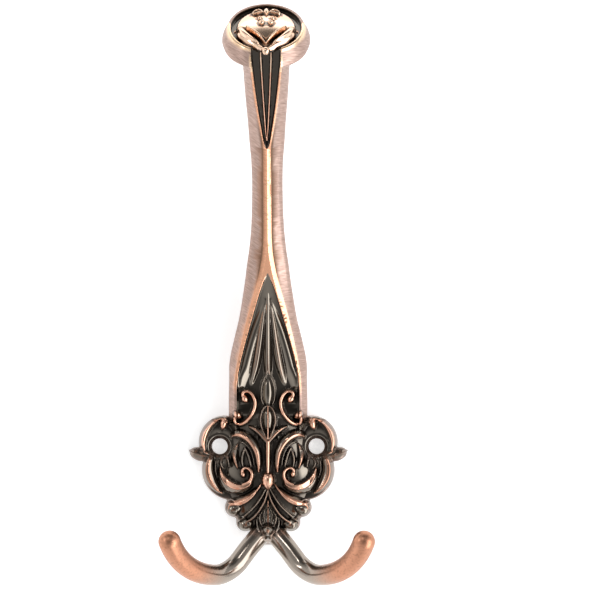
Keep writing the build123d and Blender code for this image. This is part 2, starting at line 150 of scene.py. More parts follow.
class HeightMap:
    """A grid of heights over (v, u) with u >= 0, the other side being its mirror image."""

    def __init__(self, v_low, v_high, u_high, cell):
        self.v_low, self.cell = v_low, cell
        self.v = np.arange(v_low, v_high + cell, cell)
        self.u = np.arange(0, u_high + cell, cell)
        self.grid_v, self.grid_u = np.meshgrid(self.v, self.u, indexing="ij")

    def sample(self, layer, v, u):
        i = np.clip((v - self.v_low) / self.cell, 0, len(self.v) - 1.001)
        j = np.clip(np.abs(u) / self.cell, 0, len(self.u) - 1.001)
        i0 = i.astype(np.int32)
        j0 = j.astype(np.int32)
        fi = single(i - i0)
        fj = single(j - j0)
        low = layer[i0, j0] * (1 - fj) + layer[i0, j0 + 1] * fj
        high = layer[i0 + 1, j0] * (1 - fj) + layer[i0 + 1, j0 + 1] * fj
        return low * (1 - fi) + high * fi

    def blur(self, layer, sigma):
        reach = int(3 * sigma / self.cell) + 1
        kernel = np.exp(-0.5 * (np.arange(-reach, reach + 1) * self.cell / sigma) ** 2)
        kernel /= kernel.sum()
        wide = np.concatenate([layer[:, 1 : reach + 1][:, ::-1], layer], axis=1)
        wide = np.pad(wide, ((reach, reach), (0, reach)), mode="edge")
        tall = np.apply_along_axis(lambda row: np.convolve(row, kernel, mode="valid"), 0, wide)
        return np.apply_along_axis(lambda row: np.convolve(row, kernel, mode="valid"), 1, tall)

    def window(self, low_v, high_v, low_u, high_u):
        i0 = max(0, int((low_v - self.v_low) / self.cell))
        i1 = min(len(self.v), int((high_v - self.v_low) / self.cell) + 2)
        j0 = max(0, int(low_u / self.cell))
        j1 = min(len(self.u), int(high_u / self.cell) + 2)
        return slice(i0, max(i0, i1)), slice(j0, max(j0, j1))

    def stroke(self, points, action):
        """Runs action(window, share of the half width, height, distance - half width) along a
        stroke given as (u, v, half width, height). The share is negative left of the stroke."""
        line = curve(points)
        for a, b in zip(line[:-1], line[1:]):
            reach = max(a[2], b[2]) + 0.5
            low, high = np.minimum(a, b) - reach, np.maximum(a, b) + reach
            win = self.window(low[1], high[1], low[0], high[0])
            gu, gv = self.grid_u[win], self.grid_v[win]
            if gu.size == 0:
                continue
            du, dv = b[0] - a[0], b[1] - a[1]
            t = np.clip(((gu - a[0]) * du + (gv - a[1]) * dv) / (du * du + dv * dv + 1e-9), 0, 1)
            away = np.hypot(gu - a[0] - t * du, gv - a[1] - t * dv)
            half = a[2] + (b[2] - a[2]) * t
            height = a[3] + (b[3] - a[3]) * t
            side = np.where((gu - a[0]) * dv - (gv - a[1]) * du > 0, 1.0, -1.0)
            action(win, side * away / half, height, away - half)


# Front of the plate and arm
front = HeightMap(v_low=-42, v_high=112, u_high=26, cell=0.1)
S, U = front.grid_v, front.grid_u
Z = S + ARM_START

# Rows of (s, size) up the arm
half_width_rows = [
    (-8, 11.2), (0, 11.32), (3.4, 11.32), (7.7, 11.26), (12.1, 11.08), (15, 10.7), (20.7, 9.45),
    (26.5, 8.05), (32.4, 7.04), (38.3, 6.15), (41.2, 5.8), (47.1, 4.96), (53.1, 4.42),
    (59.1, 4.18), (65.2, 4.08), (71.4, 4.2), (78.2, 4.68), (83.9, 5.02), (93.5, 5.74),
    (100, 6.15), (105.4, 6.6), (112, 7.0),
]
border_rows = [
    (-8, 9.2), (0, 9.35), (7.5, 9.33), (10.3, 9.1), (14.4, 8.45), (18.4, 7.66), (22.5, 6.76),
    (26.5, 5.8), (30.9, 4.68), (35.3, 3.53), (41.2, 2.2), (47.1, 1.32), (53.1, 1.1), (65.2, 1.08),
    (71.4, 1.06), (76.0, 1.02), (78.2, 1.08), (81.0, 1.42), (83.9, 1.9), (93.5, 3.2),
    (103.4, 4.14), (108.4, 4.45), (112, 4.55),
]
fan_rows = [
    (-8, 9.0), (0, 9.05), (7.5, 9.0), (10.3, 8.75), (14.4, 7.96), (18.4, 6.95), (22.5, 5.85),
    (26.5, 4.7), (30.9, 3.45), (35.3, 2.15), (39.1, 0.8), (FAN_END, 0.05),
]
recess_rows = [
    (RECESS_START, 0.05), (78.4, 0.42), (79.3, 0.72), (81.0, 1.02), (83.9, 1.44), (93.5, 2.68),
    (103.4, 3.62), (108.4, 3.95), (112, 4.05),
]
thickness_rows = [
    (-8, 20), (0, 9), (4, 7.9), (8, 7.5), (26, 7.1), (38, 6.9), (62, 6.8), (78, 7.0), (93, 7.6),
    (112, 8.3),
]
flank_depth_rows = [
    (0, 2.6), (15, 2.9), (26, 3.1), (40, 3.1), (62, 2.9), (85, 3.1), (100, 3.9), (108, 5.0),
    (112, 5.4),
]
step_drop_rows = [
    (0, 0.05), (20, 0.1), (34, 0.16), (44, 0.3), (74, 0.3), (82, 0.12), (112, 0.08),
]
s_line, z_line = S[:, :1], Z[:, :1]
arm_half = profile(half_width_rows, s_line) + 0.34 * ramp(S, 8, 16)
arm_border = profile(border_rows, s_line)
fan_half = np.where(s_line < FAN_END, profile(fan_rows, s_line), 0.0)
recess_half = np.where(s_line > RECESS_START, profile(recess_rows, s_line), 0.0)
flank_depth = profile(flank_depth_rows, s_line)
step_drop = profile(step_drop_rows, s_line)

# Crest that slants down to the border, a small step at its foot, and the sloping flank
inner = np.maximum(fan_half, recess_half)
inner = np.maximum(inner, arm_border - CREST_WIDTH)
crest_run = np.maximum(arm_border - inner, 0.2)
past = U - arm_border
crest = -CREST_SLOPE * np.clip(U - inner, 0, crest_run)
step_foot = -CREST_SLOPE * crest_run - step_drop
flank_run = np.maximum(arm_half - arm_border - STEP_WIDTH, 0.6)
flank = step_foot - np.maximum(past - STEP_WIDTH, 0) * (flank_depth + step_foot) / flank_run
arm_top = np.where(past < 0, crest, flank + step_drop * ramp(past, STEP_WIDTH, 0.0))

# Fan panel and V recess
fan_depth = 1.55 * ramp(S, 41.0, 33.0)
fan_wall = ramp(U - fan_half, 0.05, -0.55)
fan_floor = -fan_depth * (0.8 + 0.2 * ramp(U, 0, 4))
fan_foot = ramp(S, 13.5, 9.0) * ramp(S, 5.5, 7.5)
fan_floor = fan_floor + 0.95 * ramp(U - fan_half, -2.6, -0.4) * fan_foot
arm_top = np.where(fan_half > 0, arm_top * (1 - fan_wall) + fan_floor * fan_wall, arm_top)
recess_depth = 1.45 * ramp(S, 77.6, 81.5)
recess_wall = ramp(U - recess_half, 0.08, -0.22)
recess_top = arm_top * (1 - recess_wall) - recess_depth * recess_wall
arm_top = np.where(recess_half > 0, recess_top, arm_top)

# Plate ground: flat lobes and a raised shield, as depth from the wall
shield_half_rows = [(-32, 3.0), (-25, 5.0), (-18, 9.0), (-9, 12.0), (0, 10.5), (10, 10.5)]
shield_crown_rows = [
    (-32, 3.2), (-26, 3.6), (-18, 4.2), (-9, 5.1), (0, 5.6), (7, 5.9), (10, 5.9),
]
shield_half = profile(shield_half_rows, z_line)
shield_crown = profile(shield_crown_rows, z_line)
across = np.clip(1 - (U / shield_half) ** 2, 0, 1)
plate_ground = LOBE_DEPTH + (shield_crown - LOBE_DEPTH) * across ** 0.85
pad = PAD_DEPTH - 0.35 * np.maximum(np.hypot(U - HOLE_X, Z) - PAD_RADIUS, 0)
plate_ground = smooth_max(plate_ground, pad, 0.4)
arm_sink = 5.0 * ramp(Z, 10.0, 1.5)
ground = smooth_max(arm_top - arm_sink, plate_ground - ARM_FRONT, 0.3)
ground = np.where(Z > 14, arm_top, ground)

# Outline, as a field that is negative inside it
def circle_edge(cu, cz, radius):
    return np.hypot(U - cu, Z - cz) - radius


outline = np.minimum(circle_edge(12.6, 1.3, 7.55), circle_edge(10.3, -6.8, 8.95))
shell = smooth_min(circle_edge(9.75, -17.7, 2.9), circle_edge(6.6, -22.0, 2.75), 1.2)
outline = smooth_min(outline, shell, 0.6)
body_half_rows = [
    (-29.5, 0.5), (-28, 2.2), (-26, 3.6), (-24, 6.0), (-20.5, 8.2), (-17, 10.5), (-13, 11.5),
    (9, 11.2),
]
body_half = profile(body_half_rows, z_line)
body = np.maximum(U - body_half, np.maximum(Z - 9.0, -28.6 - Z))
outline = smooth_min(outline, body, 0.25)
arm_edge = np.maximum((U - arm_half) * 0.985, -4.0 - S)
outline = smooth_min(outline, arm_edge, 0.35)

# The relief: top is its height, copper how worn its crests are. Strokes add to both.
top = ground.copy()
copper = np.zeros_like(top)
inside = np.minimum(outline, np.maximum(U - 11.2, -12.0 - Z))


def rounded(share, power):
    return np.clip(1 - share * share, 0, 1) ** power


def add_ridge(points, power=0.6, worn=0.5, lean=0.0):
    """A rounded ridge through rows of (s, u, half width, height). It is worn to copper over the
    share worn of its half width, round a crest at lean: 0 in the middle, 1 at the right edge."""

    def lay(win, share, height, edge):
        across = np.where(share > lean, (share - lean) / (1 - lean), (lean - share) / (1 + lean))
        lift = ground[win] + height * rounded(across, power)
        higher = (np.abs(share) < 1) & (lift > top[win])
        top[win] = np.where(higher, lift, top[win])
        copper[win] = np.where(higher, ramp(across, worn + 0.4, worn - 0.25), copper[win])

    front.stroke([(u, s, w, h) for s, u, w, h in points], lay)


def add_stroke(points, *shape):
    """A rounded stroke on the plate through rows of (x, z, half width, height)."""
    add_ridge([(z - ARM_START, x, w, h) for x, z, w, h in points], *shape)


def add_line(places, width, height, *shape):
    """A stroke of one width through (x, z) places, a little finer at both ends."""
    rows = [(x, z, width, height) for x, z in places]
    for end in (0, -1):
        x, z = places[end]
        rows[end] = (x, z, width * 0.7, height * 0.85)
    add_stroke(rows, *shape)


# Folds of the fan panel: a middle one and one on each side, with soft swells between
add_ridge([
    (32, 0.6, 0.6, 0.1), (22, 3.9, 1.6, 0.7), (13, 6.4, 1.9, 0.9), (9, 7.1, 1.2, 0.4),
    (7, 7.4, 0.8, 0.05),
], 1.4, -1)
add_ridge([
    (35, 0, 0.2, 0.02), (27, 0, 1.05, 0.8), (19, 0.05, 1.4, 1.3), (12.2, 0.25, 1.05, 1.35),
    (10.6, 0.6, 0.4, 0.9),
], 1.5, -0.05, 0.12)
add_ridge([
    (32, 0.7, 0.2, 0.02), (25.5, 1.7, 1.0, 0.95), (19, 2.6, 1.4, 1.4), (13.6, 3.45, 1.45, 1.4),
    (10, 4.3, 1.05, 0.8), (7.8, 4.9, 0.6, 0.02),
], 1.5, -0.05, 0.12)

# Ribs of the V recess
add_ridge([
    (80.2, 0.1, 0.2, 0.5), (83.9, 0.36, 0.3, 1.1), (93.5, 0.85, 0.34, 1.2),
    (103.4, 1.27, 0.36, 1.2), (110, 1.5, 0.36, 1.15),
], 0.4, 0.55)

# C scrolls at the foot of the arm
add_stroke([
    (6.2, 13.6, 0.7, 1.4), (6.95, 14.3, 0.72, 1.7), (7.3, 15.1, 0.74, 1.85),
    (6.95, 15.85, 0.76, 1.95), (6.05, 16.2, 0.78, 2.0), (5.1, 15.8, 0.8, 2.05),
    (4.25, 14.8, 0.84, 2.05), (3.72, 13.4, 0.86, 2.05), (3.65, 12.2, 0.86, 2.05),
    (3.9, 11.0, 0.86, 2.05), (4.5, 9.6, 0.86, 2.05), (5.3, 8.4, 0.86, 2.0), (6.3, 7.4, 0.84, 2.0),
    (7.4, 6.75, 0.82, 1.95), (8.4, 6.55, 0.78, 1.9), (9.35, 7.1, 0.74, 1.8), (9.6, 8.0, 0.7, 1.7),
    (9.3, 8.9, 0.66, 1.6), (8.8, 9.3, 0.6, 1.4),
])
add_stroke([(7.0, 14.7, 0.8, 1.8), (6.6, 13.9, 1.2, 2.35), (6.1, 13.2, 0.7, 1.6)], 0.5, 0.7)
add_stroke([(9.3, 9.9, 0.8, 1.8), (8.75, 9.3, 1.3, 2.5), (8.0, 8.7, 0.7, 1.7)], 0.5, 0.7)

# Leaves up the middle, each a thin edge round a soft swell
add_stroke([
    (0, 20.4, 0.5, 0.4), (0, 18.0, 1.4, 0.9), (0, 15.2, 1.75, 1.05), (0, 13.0, 1.1, 0.8),
], 0.9, -1)
add_line([
    (0.1, 21.0), (0.75, 20.2), (1.3, 19.0), (1.78, 17.4), (1.98, 15.6), (1.85, 13.8), (1.3, 12.3),
], 0.4, 1.35, 0.7, -0.1)
add_stroke([
    (0, 11.5, 0.8, 0.7), (0, 8.6, 1.85, 1.15), (0, 6.0, 1.5, 1.1), (0, 3.4, 0.6, 0.9),
], 0.9, -1)
add_line([
    (0.05, 12.0), (0.7, 11.75), (1.35, 11.0), (1.85, 9.9), (2.13, 8.5), (2.08, 6.9),
    (1.65, 5.2), (1.0, 3.8), (0.3, 2.6),
], 0.46, 1.65, 0.5, 0.0)
add_line([(0, 11.9), (0, 9.5), (0, 6.5), (0, 3.8), (0, 2.2)], 0.36, 2.0, 0.5, 0.6)

# Branches and stem
add_stroke([
    (0.15, 1.8, 1.1, 1.8), (1.3, 3.05, 1.1, 1.95), (2.5, 4.3, 1.05, 1.95), (3.9, 5.3, 0.9, 1.8),
    (5.3, 5.9, 0.4, 1.2),
], 0.6, 0.12)
add_stroke([
    (0, 2.4, 0.7, 1.8), (0, 1.0, 1.0, 1.95), (0, -1.5, 0.95, 1.95), (0, -5.0, 0.85, 1.8),
    (0, -7.9, 0.6, 1.6),
], 0.6, 0.46)

# Side bands: a broad rounded band with a fine edge inside it
add_stroke([
    (10.5, 2.6, 0.4, 1.0), (10.1, 3.35, 0.95, 1.6), (8.6, 3.75, 1.45, 2.1), (7.2, 3.4, 1.5, 2.25),
    (5.7, 2.45, 1.5, 2.3), (4.5, 1.2, 1.5, 2.3), (3.65, -0.2, 1.4, 2.25), (3.05, -1.6, 1.3, 2.15),
    (2.75, -3.2, 1.15, 2.05), (2.6, -5.0, 0.95, 1.85), (2.65, -7.0, 0.5, 1.3),
], 0.7, 0.22, -0.2)
add_line([
    (8.2, 1.5), (7.0, 1.2), (5.8, 0.2), (4.8, -1.4), (4.2, -3.4), (4.0, -5.2),
], 0.36, 1.2, 0.6, -0.1)

# Flame leaves
add_stroke([
    (8.6, 1.0, 0.15, 0.7), (9.45, -0.6, 0.75, 1.5), (9.78, -2.2, 0.9, 1.75),
    (9.55, -4.0, 0.8, 1.65), (8.8, -6.2, 0.3, 1.1),
], 0.7, 0.2)
add_line([
    (6.6, -0.3), (6.0, -1.5), (5.5, -3.0), (5.1, -4.5), (4.9, -5.5),
], 0.52, 1.6, 0.6, -0.05)
add_line([
    (6.6, -0.3), (7.1, -1.6), (7.45, -2.9), (7.5, -4.1), (7.3, -5.4),
], 0.52, 1.55, 0.6, -0.05)
add_line([(12.5, -1.5), (12.0, -2.6), (11.5, -4.0), (11.3, -5.8)], 0.48, 1.55, 0.6, -0.1)
add_line([
    (12.5, -1.5), (13.1, -2.7), (13.6, -4.2), (13.5, -5.3), (12.9, -6.3),
], 0.48, 1.5, 0.6, -0.1)

# Cup scroll: a body that falls away from its crest, whose inner end curls into a ball
add_stroke([
    (4.7, -9.6, 0.9, 1.9), (5.6, -11.1, 1.2, 2.2), (7.4, -11.9, 1.5, 2.45),
    (9.2, -12.0, 1.75, 2.55), (11.0, -11.4, 1.9, 2.5), (12.4, -10.3, 1.75, 2.3),
    (13.4, -8.7, 1.2, 1.9), (13.85, -7.0, 0.6, 1.5), (13.9, -5.9, 0.2, 1.1),
], 0.62, 0.36, -0.62)
add_stroke([
    (7.2, -10.75, 0.75, 2.3), (5.9, -10.25, 0.8, 2.3), (5.0, -9.4, 0.8, 2.2),
    (4.62, -8.4, 0.8, 2.1), (4.65, -7.4, 0.78, 2.0), (5.15, -6.5, 0.74, 1.95),
    (5.95, -6.0, 0.7, 1.9), (6.8, -6.05, 0.7, 1.9), (7.4, -6.6, 0.75, 1.9), (7.5, -7.3, 0.8, 1.9),
])
add_stroke([(7.5, -7.0, 0.7, 1.8), (7.25, -7.8, 0.95, 2.2), (7.0, -8.5, 0.5, 1.5)], 0.5, 0.7)

# Leaf along the rim of the lower lobe
add_stroke([
    (15.9, -1.6, 0.3, 1.0), (16.75, -3.7, 1.2, 1.6), (17.15, -5.6, 1.6, 1.85),
    (17.1, -7.5, 1.75, 1.9), (16.5, -9.4, 1.7, 1.85), (15.45, -11.2, 1.4, 1.65),
    (14.3, -12.6, 0.9, 1.3), (13.2, -13.4, 0.35, 0.9),
], 0.75, 0.22, -0.25)
add_line([(14.9, -3.6), (15.2, -5.4), (15.1, -7.2), (14.7, -8.8)], 0.3, 1.0, 0.6, -0.1)

# Rim of the upper lobe, curling into a drop
add_stroke([
    (18.35, -1.0, 0.4, 0.9), (18.75, 0.6, 0.95, 1.5), (18.7, 2.2, 1.15, 1.75),
    (18.1, 4.1, 1.25, 1.9), (17.1, 5.9, 1.25, 1.95), (15.8, 7.3, 1.15, 1.95),
    (14.4, 8.1, 0.95, 1.9), (13.2, 8.2, 0.8, 1.8), (12.6, 7.5, 0.85, 1.75),
], 0.75, 0.5)
add_stroke([
    (12.6, 8.0, 0.9, 1.8), (12.65, 7.1, 1.25, 2.5), (12.9, 6.2, 1.25, 2.4), (13.2, 5.3, 0.6, 1.6),
], 0.5, 0.62)
add_stroke([
    (15.9, -1.7, 0.3, 0.8), (17.4, -1.9, 0.5, 1.0), (18.6, -1.4, 0.5, 1.0), (19.3, -0.9, 0.3, 0.8),
], 0.6, 0.2)

# Boss in the middle
add_stroke([
    (0, -8.2, 1.3, 2.2), (0, -9.0, 2.05, 2.9), (0, -10.0, 1.95, 2.95), (0, -11.2, 1.15, 2.3),
    (0, -12.3, 0.2, 1.5),
], 0.55, 0.85)

# Shell: leaf over the first rib, then sharp ribs with hollows between, ending in rounded lobes
add_stroke([
    (2.3, -10.9, 0.3, 1.2), (3.7, -12.6, 0.75, 1.8), (5.4, -14.2, 1.15, 2.1),
    (7.2, -15.3, 1.45, 2.2), (9.0, -15.9, 1.35, 2.05), (10.6, -16.1, 0.9, 1.7),
    (11.7, -16.0, 0.3, 1.1),
], 0.65, 0.5, 0.55)
add_stroke([(8.6, -17.9, 0.9, 1.1), (9.8, -18.1, 1.75, 1.75), (10.2, -18.3, 1.7, 1.6)], 0.5, 0.1)
add_stroke([(5.2, -22.3, 0.9, 1.1), (6.4, -22.5, 1.85, 1.75), (6.8, -22.6, 1.6, 1.6)], 0.5, 0.1)
add_stroke([
    (2.0, -10.6, 0.35, 1.2), (2.9, -12.0, 0.6, 1.8), (4.4, -13.7, 0.75, 2.05),
    (6.0, -15.2, 0.8, 2.15), (7.6, -16.1, 0.8, 2.15), (9.3, -16.6, 0.75, 2.0),
    (10.7, -16.8, 0.6, 1.8), (11.4, -17.5, 0.45, 1.4), (11.3, -18.5, 0.3, 1.1),
], 0.7, 0.3)
add_stroke([
    (0.4, -11.8, 0.3, 1.0), (1.0, -12.7, 0.45, 1.5), (2.05, -14.6, 0.52, 1.75),
    (3.4, -16.6, 0.56, 1.8), (5.0, -18.3, 0.56, 1.75), (6.6, -19.8, 0.6, 1.7),
    (7.8, -20.8, 0.55, 1.6), (8.6, -21.5, 0.35, 1.2),
], 0.6, -0.05)
add_stroke([
    (0.15, -12.6, 0.35, 1.3), (0.45, -14.0, 0.5, 1.7), (0.95, -15.5, 0.55, 1.85),
    (1.8, -17.1, 0.6, 1.9), (2.85, -18.8, 0.62, 1.9), (4.1, -20.2, 0.7, 1.85),
    (5.4, -21.25, 0.68, 1.75), (6.8, -21.9, 0.55, 1.6), (8.1, -21.9, 0.3, 1.2),
], 0.6, 0.05)

# Sepals and bud, standing in front of where the prongs meet
add_stroke([
    (0, -15.6, 0.4, 0.5), (0, -18.5, 2.0, 1.3), (0, -21.5, 3.1, 2.0), (0, -24.0, 2.2, 2.9),
    (0, -26.5, 1.4, 3.2), (0, -28.4, 0.5, 2.8),
], 0.5, -1)
add_line([(0, -15.4), (0, -18.0)], 0.4, 1.9, 0.5, 0.45)
add_stroke([(0, -17.5, 0.4, 1.9), (0, -20.5, 0.42, 2.5), (0, -22.6, 0.36, 2.7)], 0.5, 0.1)
add_stroke([
    (0.7, -17.6, 0.25, 1.5), (1.15, -19.2, 0.36, 2.2), (1.0, -21.2, 0.36, 2.5),
    (0.65, -22.6, 0.3, 2.6),
], 0.5, -0.15)
add_stroke([
    (1.6, -18.5, 0.25, 1.4), (2.35, -20.0, 0.46, 2.1), (2.15, -21.6, 0.5, 2.5),
    (1.7, -22.7, 0.4, 2.5),
], 0.5, -0.05)
add_stroke([
    (2.8, -20.0, 0.25, 1.3), (3.15, -21.0, 0.42, 1.9), (3.0, -22.6, 0.5, 2.5),
    (2.3, -24.2, 0.4, 2.7),
], 0.5, -0.15)
add_stroke([(0, -22.9, 1.5, 4.4), (0, -23.6, 1.95, 5.6), (0, -24.4, 1.6, 5.2)], 0.5, 0.1)
add_stroke([(0, -25.3, 0.6, 3.4), (0, -26.7, 0.85, 4.0), (0, -28.4, 0.35, 3.2)], 0.5, -0.1)

# The plate falls away to a thin edge outside its rims
shoulder = RIM_DEPTH - ARM_FRONT + 2.3 * np.maximum(-inside, 0) + 20 * ramp(Z, 7.5, 9.5)
shoulder = shoulder + 20 * ramp(U, 11.0, 10.1) * ramp(Z, 4.5, 6.5)
top = np.where(Z < 9.6, -smooth_max(-top, -shoulder, 0.25), top)
copper = np.where(Z < 9.6, copper * ramp(inside, -0.2, -0.75), copper)

# Horn leaves at the sides of the plate
horn_edge = np.full_like(top, 9.0)


def mark_horn(win, share, height, edge):
    horn_edge[win] = np.minimum(horn_edge[win], edge)
    away = np.abs(share)
    lift = height - ARM_FRONT + 1.3 * np.clip(1 - away, 0, 1)
    higher = (away < 1.15) & (lift > top[win])
    top[win] = np.where(higher, lift, top[win])
    copper[win] = np.where(higher, 0.35 * ramp(away, 0.7, 0.1), copper[win])


horn = [
    (17.6, -2.7, 1.3, 1.7), (19.3, -2.4, 2.0, 1.85), (20.9, -1.95, 1.7, 1.95),
    (22.0, -1.55, 0.85, 1.95), (23.1, -1.1, 0.08, 1.8),
]
front.stroke([(x, z - ARM_START, w, h) for x, z, w, h in horn], mark_horn)
outline = smooth_min(outline, horn_edge, 0.2)


def tilt_of(grid, heights, sigma):
    """Cosine of the slope of a height map, softened: it turns heights into true distances."""
    slope_v, slope_u = np.gradient(heights, grid.cell)
    return np.maximum(grid.blur(1 / np.sqrt(1 + slope_v ** 2 + slope_u ** 2), sigma), 0.25)


def single_layers(**layers):
    return {name: single(layer) for name, layer in layers.items()}


# Where the front is ornament, with the dark finish, and not plain satin metal
ornate = np.maximum(ramp(Z, 18.5, 17.5) * ramp(U - arm_border, -0.25, -0.45), ramp(Z, 8.5, 6.5))
lifted = ramp(top - ground, 0.2, 0.6) * ramp(Z, 17.5, 16.5) * ramp(Z, 5.0, 6.0)
ornate = np.maximum(ornate, lifted)
ornate = np.minimum(ornate, np.where(Z < 8.0, ramp(outline, -0.35, -0.95), 1))
ornate = np.maximum(ornate, np.where(fan_half > 0, ramp(U - fan_half, -0.1, -0.32), 0))
ornate = np.maximum(ornate, np.where(recess_half > 0, ramp(U - recess_half, 0.0, -0.14), 0))
front_layers = single_layers(
    top=top,
    tilt=tilt_of(front, top, 0.12),
    edge=outline,
    relief=top - front.blur(top, 0.9),
    ornate=ornate,
    past=past,
    copper=copper,
)
thickness_line = single(profile(thickness_rows, front.v))


def front_at(s, u, *names):
    return [front.sample(front_layers[name], s, u) for name in names]


# Knob face, over (v, u): v is the distance away from the arm. A dome stands in a ring channel
# inside the rim
face = HeightMap(v_low=-13, v_high=13, u_high=13, cell=0.08)
B, A = face.grid_v, face.grid_u
DOME_RADIUS = 8.0
CHANNEL_DEPTH = 1.25


def beside_arm(a, b):
    """0 where the rim is open towards the arm, 1 elsewhere."""
    return np.where(b < 0, ramp(a, 3.75, 4.1), 1)


radius = np.hypot(A, B)
dome = -0.45 + 1.25 * np.clip(1 - (radius / DOME_RADIUS) ** 2, 0, 1)
dome_wall = ramp(radius, 7.75, 8.1)
face_ground = dome * (1 - dome_wall) - CHANNEL_DEPTH * dome_wall
rim_wall = ramp(radius, 9.4, 9.62) * beside_arm(A, B)
face_ground = face_ground * (1 - rim_wall)


def add_face(points, power=0.55):
    """A rounded form on the face through rows of (x, v, half width, height)."""

    def add(win, share, height, edge):
        lift = face_ground[win] + height * rounded(share, power)
        face_top[win] = np.maximum(face_top[win], np.where(share < 1, lift, -9))

    face.stroke(points, add)


def cut_face(points):
    """A groove in the face through rows of (x, v, half width, depth)."""
    level = face_ground.copy()

    def dig(win, share, depth, edge):
        low = level[win] - depth * rounded(share, 0.6)
        low = np.minimum(face_ground[win], low)
        face_ground[win] = np.where(np.abs(share) < 1, low, face_ground[win])

    face.stroke(points, dig)


# Grooves beside the leaves, the leaves, the ring leaves with their bud, and the berries
cut_face([
    (0, -8.3, 0.5, 0.8), (2.2, -6.2, 0.6, 0.9), (4.4, -3.5, 0.6, 0.9), (5.9, -1.7, 0.5, 0.7),
])
cut_face([
    (8.2, -1.0, 0.45, 0.6), (7.2, -0.3, 0.5, 0.8), (6.2, -0.6, 0.5, 0.8), (5.6, -1.5, 0.4, 0.6),
])
cut_face([
    (0, -6.0, 0.4, 0.6), (1.5, -4.3, 0.45, 0.6), (3.2, -2.3, 0.4, 0.5), (4.6, -0.7, 0.35, 0.4),
    (5.2, -0.1, 0.3, 0.3),
])
face_top = face_ground.copy()
add_face([
    (0.3, -9.6, 0.5, 1.5), (2.5, -8.0, 0.9, 2.0), (4.7, -6.0, 1.25, 2.15), (6.5, -3.7, 1.4, 2.1),
    (7.0, -2.3, 1.15, 1.8),
])
add_face([
    (0.15, -7.4, 0.25, 0.9), (1.7, -5.5, 0.6, 1.6), (3.6, -3.3, 0.75, 1.7), (5.2, -1.5, 0.65, 1.3),
    (5.8, -0.8, 0.3, 0.9),
])
add_face([
    (0, 4.7, 0.3, 0.8), (0, 5.9, 0.85, 1.2), (0, 7.0, 0.65, 1.1), (0, 7.9, 0.2, 0.8),
])
for side in (1, -1):
    add_face([
        (0.9, 5.7, 0.22, 0.8), (1.7, 6.2 + 0.6 * side, 0.3, 1.0),
        (2.6, 6.1 + 0.8 * side, 0.32, 1.0), (3.4, 5.6 + 0.45 * side, 0.3, 0.9),
        (3.8, 5.3, 0.22, 0.7),
    ])
add_face([(1.79, 2.75, 0.6, 0.8), (1.81, 2.75, 0.6, 0.8)], 0.5)
add_face([(1.24, 0.55, 0.85, 1.1), (1.26, 0.55, 0.85, 1.1)], 0.5)
face_layers = single_layers(
    top=face_top,
    tilt=tilt_of(face, face_top, 0.1),
    relief=face_top - face.blur(face_top, 0.5),
)


# Prongs, each along a line through (x, depth, z): a straight root, a bend and a curl, in one plane
def arc_points(start, end, tangent, count):
    """Points on the circular arc from start to end that leaves along tangent, and its end's
    direction."""
    chord = end - start
    length = np.linalg.norm(chord)
    tangent = tangent / np.linalg.norm(tangent)
    normal = chord - tangent * np.dot(chord, tangent)
    normal /= np.linalg.norm(normal)
    angle = math.atan2(np.dot(chord, normal), np.dot(chord, tangent))
    radius = length / (2 * math.sin(angle))
    turn = np.linspace(0, 2 * angle, count)
    sine, cosine = np.sin(turn)[:, None], np.cos(turn)[:, None]
    points = start + radius * (sine * tangent + (1 - cosine) * normal)
    return points, math.cos(2 * angle) * tangent + math.sin(2 * angle) * normal


root = np.array([1.6, 3.6, -25.6])
bottom = np.array([15.2, 12.6, -35.9])
tip = np.array([26.9, 29.6, -24.6])
plane_normal = np.cross(tip - root, bottom - root)
knee = np.array([8.6, 0, -33.0])
across, _, rise = (knee - root) * plane_normal
knee[1] = root[1] - (across + rise) / plane_normal[1]
bend, bend_end = arc_points(knee, bottom, knee - root, 12)
curl, _ = arc_points(bottom, tip, bend_end, 24)
start = np.array([2.0, 3.3, -25.0])
middle = np.array([5.4, 0.5 * (root[1] + knee[1]), -28.9])
# The curve keeps distances in (x, z), so depth goes in as its third column
entry = curve([(x, z, depth, 0) for x, depth, z in (start, middle, knee)], 0.8)
prong_line = single(np.vstack([entry[:, [0, 2, 1]], bend[1:], curl[1:]]))
prong_steps = np.linalg.norm(np.diff(prong_line, axis=0), axis=1)
prong_length = np.concatenate([[0], np.cumsum(prong_steps)])
prong_share = prong_length / prong_length[-1]
prong_radius = single(np.interp(prong_share, [0, 0.25, 0.6, 1], [2.9, 2.95, 3.05, 3.12]))


def prong_field(x, depth, z):
    """Distance from the prong, negative inside it, and the place along it."""
    best = np.full(x.shape, 1e3, np.float32)
    along = np.zeros(x.shape, np.float32)
    for i in range(len(prong_line) - 1):
        a, b = prong_line[i], prong_line[i + 1]
        d = b - a
        dx, dd, dz = x - a[0], depth - a[1], z - a[2]
        t = np.clip((dx * d[0] + dd * d[1] + dz * d[2]) / np.dot(d, d), 0, 1)
        away = np.sqrt((dx - t * d[0]) ** 2 + (dd - t * d[1]) ** 2 + (dz - t * d[2]) ** 2)
        away -= prong_radius[i] + (prong_radius[i + 1] - prong_radius[i]) * t
        here = prong_length[i] + t * (prong_length[i + 1] - prong_length[i])
        along = np.where(away < best, here, along)
        best = np.minimum(best, away)
    return best, along


def arm_coordinates(depth, z):
    """(s, n): place along the front line, and distance out of it."""
    reach = ARM_FRONT + ARM_RADIUS - depth
    rise = z - ARM_START
    away = np.sqrt(reach * reach + rise * rise)
    bent = rise > 0
    s = np.where(bent, ARM_RADIUS * np.arctan2(rise, reach), rise)
    n = np.where(bent, ARM_RADIUS - away, depth - ARM_FRONT)
    return single(s), single(n)


